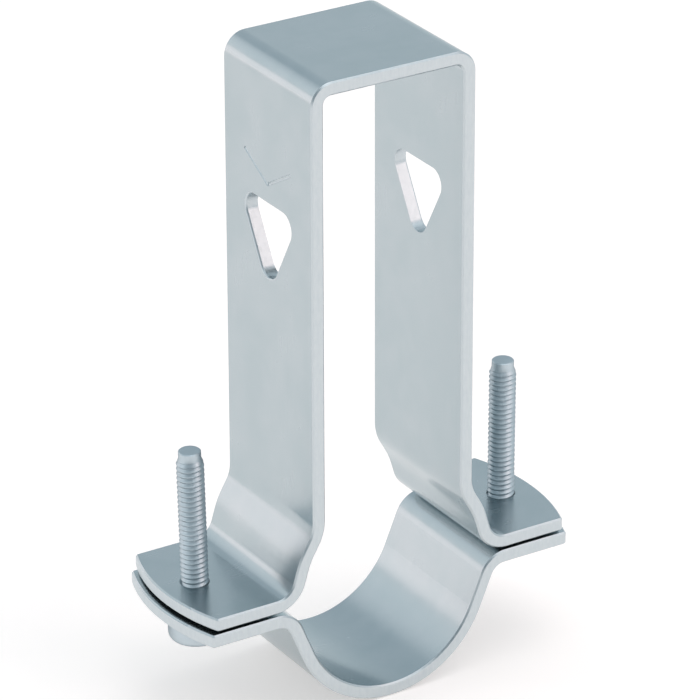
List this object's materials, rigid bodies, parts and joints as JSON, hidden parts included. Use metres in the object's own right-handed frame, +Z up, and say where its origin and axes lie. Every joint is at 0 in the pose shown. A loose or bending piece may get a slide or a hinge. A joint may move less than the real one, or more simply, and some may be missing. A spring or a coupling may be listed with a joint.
{
  "type": "pipe bracket",
  "caption": "Tall folded steel hoop that hangs on a rail, with a folded saddle screwed under its mouth to clamp a round pipe.",
  "frame": {"origin": "on the axis of the clamped pipe, halfway along the width of the strip and midway between the two screws", "axes": "+X from the left flange to the right flange, +Y along the pipe, +Z up to the rail"},
  "size_m": [0.096, 0.035, 0.1466],
  "materials": {
    "zinc_plated_strip": "bright zinc plating on cold-rolled steel strip",
    "zinc_plated_screw": "bright zinc plating on cold-headed steel screws"
  },
  "bodies": {
    "root": {"hoop": "zinc_plated_strip", "saddle": "zinc_plated_strip", "clamp_screws": "zinc_plated_screw"}
  },
  "joints": []
}
